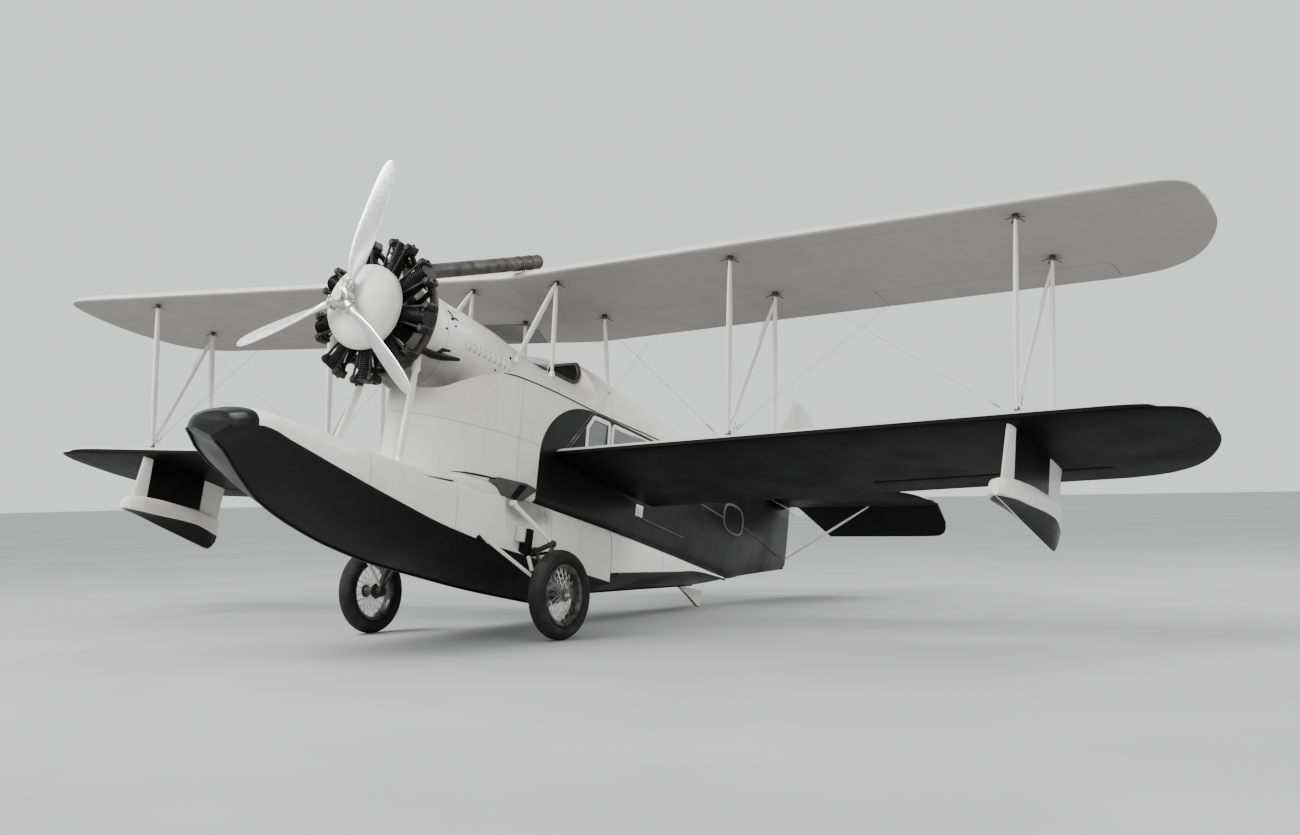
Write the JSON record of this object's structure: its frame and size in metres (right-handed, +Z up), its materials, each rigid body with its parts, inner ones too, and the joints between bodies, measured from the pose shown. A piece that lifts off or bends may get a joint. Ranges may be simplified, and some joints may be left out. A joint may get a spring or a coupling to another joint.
{
  "type": "amphibian flying boat biplane",
  "caption": "Radial-engined amphibian biplane with a stepped hull, closed cabin, wing floats, wheels and a tail skid, with moving control surfaces.",
  "frame": {"origin": "middle of the bottom of the bounding box, on the ground plane the wheels and skid stand on", "axes": "+X to port along the span, +Y aft, +Z up; the airframe rests nose up by 13 degrees"},
  "size_m": [14.2082, 10.9066, 4.5358],
  "materials": {
    "light_paint": "silver-cream gloss enamel over sheet metal, slightly weathered",
    "black_paint": "black gloss enamel over riveted sheet metal",
    "doped_fabric_light": "doped and painted wing fabric, satin",
    "doped_fabric_black": "doped and painted wing fabric, black, satin gloss",
    "engine_black": "black enamelled cylinders with machined details",
    "exhaust_steel": "heat-darkened steel tube",
    "polished_alloy": "polished forged alloy",
    "painted_steel": "grey enamel over welded steel tube",
    "wire_steel": "bare streamlined steel wire",
    "tyre_rubber": "worn black rubber",
    "leather": "dark padded leather",
    "glass": "clear sheet glass"
  },
  "bodies": {
    "airframe": {"hull": "light_paint", "planing_bottom_forward": "black_paint", "planing_bottom_aft": "black_paint", "prow_fairing": "light_paint", "cabin": "black_paint", "rear_fuselage": "black_paint", "cabin_window_front_left": "glass", "cabin_window_front_right": "glass", "cabin_window_rear_left": "glass", "cabin_window_rear_right": "glass", "engine_nacelle": "light_paint", "engine_strut_left": "light_paint", "engine_strut_right": "light_paint", "top_deck": "light_paint", "pilot_seat": "leather", "instrument_panel": "painted_steel", "windscreen": "glass", "cabin_benches": "leather", "engine": "engine_black", "nose_bowl": "light_paint", "exhaust": "exhaust_steel", "upper_wing_left": "doped_fabric_light", "upper_wing_right": "doped_fabric_light", "lower_wing_left": "doped_fabric_black", "lower_wing_right": "doped_fabric_black", "interplane_struts_inner_left": "light_paint", "interplane_struts_inner_right": "light_paint", "interplane_struts_outer_left": "light_paint", "interplane_struts_outer_right": "light_paint", "front_cabane_left": "light_paint", "front_cabane_right": "light_paint", "rear_cabane_left": "light_paint", "rear_cabane_right": "light_paint", "bracing_wires_inner_left": "wire_steel", "bracing_wires_inner_right": "wire_steel", "bracing_wires_outer_left": "wire_steel", "bracing_wires_outer_right": "wire_steel", "wing_float_left": "black_paint", "wing_float_right": "black_paint", "gear_leg_left": "painted_steel", "gear_leg_right": "painted_steel", "tailplane": "doped_fabric_light", "fin": "light_paint", "tailplane_strut_left": "light_paint", "tailplane_strut_right": "light_paint"},
    "cabin_hatch": {"cabin_hatch": "light_paint"},
    "propeller": {"propeller": "polished_alloy"},
    "wheel_left": {"wheel_left": "painted_steel", "tyre_left": "tyre_rubber"},
    "wheel_right": {"wheel_right": "painted_steel", "tyre_right": "tyre_rubber"},
    "tail_skid": {"tail_skid": "painted_steel"},
    "rudder": {"rudder": "doped_fabric_light"},
    "elevator_left": {"elevator_left": "doped_fabric_light"},
    "elevator_right": {"elevator_right": "doped_fabric_light"},
    "aileron_upper_left": {"aileron_upper_left": "doped_fabric_light"},
    "aileron_upper_right": {"aileron_upper_right": "doped_fabric_light"},
    "aileron_lower_left": {"aileron_lower_left": "doped_fabric_black"},
    "aileron_lower_right": {"aileron_lower_right": "doped_fabric_black"}
  },
  "joints": [
    {"name": "propeller_spin", "type": "hinge", "parent": "airframe", "child": "propeller", "pos_m": [0, -3.80909, 3.24268], "axis": [0, 0.9744, -0.225], "continuous": true},
    {"name": "wheel_left_spin", "type": "hinge", "parent": "airframe", "child": "wheel_left", "pos_m": [1.2, -2.14921, 0.4302], "axis": [1, 0, 0], "continuous": true},
    {"name": "wheel_right_spin", "type": "hinge", "parent": "airframe", "child": "wheel_right", "pos_m": [-1.2, -2.14921, 0.4302], "axis": [1, 0, 0], "continuous": true},
    {"name": "rudder_hinge", "type": "hinge", "parent": "airframe", "child": "rudder", "pos_m": [0, 4.80162, 1.79355], "axis": [0, 0.225, 0.9744], "range_deg": [-25, 25]},
    {"name": "elevator_left_hinge", "type": "hinge", "parent": "airframe", "child": "elevator_left", "pos_m": [0, 4.65653, 1.16508], "axis": [1, 0, 0], "range_deg": [0, 55]},
    {"name": "elevator_right_hinge", "type": "hinge", "parent": "airframe", "child": "elevator_right", "pos_m": [0, 4.65653, 1.16508], "axis": [1, 0, 0], "range_deg": [0, 55]},
    {"name": "aileron_upper_left_hinge", "type": "hinge", "parent": "airframe", "child": "aileron_upper_left", "pos_m": [4.75434, 0.07346, 3.41816], "axis": [0.999, 0.013, 0.0416], "range_deg": [-20, 20]},
    {"name": "aileron_upper_right_hinge", "type": "hinge", "parent": "airframe", "child": "aileron_upper_right", "pos_m": [-4.75434, 0.07346, 3.41816], "axis": [0.999, -0.013, -0.0416], "range_deg": [-20, 20]},
    {"name": "aileron_lower_left_hinge", "type": "hinge", "parent": "airframe", "child": "aileron_lower_left", "pos_m": [4.75474, -0.07236, 1.53133], "axis": [0.9991, 0.0125, 0.04], "range_deg": [-20, 20]},
    {"name": "aileron_lower_right_hinge", "type": "hinge", "parent": "airframe", "child": "aileron_lower_right", "pos_m": [-4.75474, -0.07236, 1.53133], "axis": [0.9991, -0.0125, -0.04], "range_deg": [-20, 20]},
    {"name": "tail_skid_swivel", "type": "hinge", "parent": "airframe", "child": "tail_skid", "pos_m": [0, 1.99988, 0.26461], "axis": [0, 0.225, 0.9744], "range_deg": [-25, 25]},
    {"name": "cabin_hatch_hinge", "type": "hinge", "parent": "airframe", "child": "cabin_hatch", "pos_m": [-0.535, 0.75816, 2.15438], "axis": [0, -0.9391, 0.3437], "range_deg": [0, 95]}
  ],
  "couplings": [
    {"joint": "elevator_right_hinge", "follows": "elevator_left_hinge", "ratio": 1},
    {"joint": "aileron_lower_left_hinge", "follows": "aileron_upper_left_hinge", "ratio": 1},
    {"joint": "aileron_upper_right_hinge", "follows": "aileron_upper_left_hinge", "ratio": -1},
    {"joint": "aileron_lower_right_hinge", "follows": "aileron_upper_left_hinge", "ratio": -1}
  ]
}
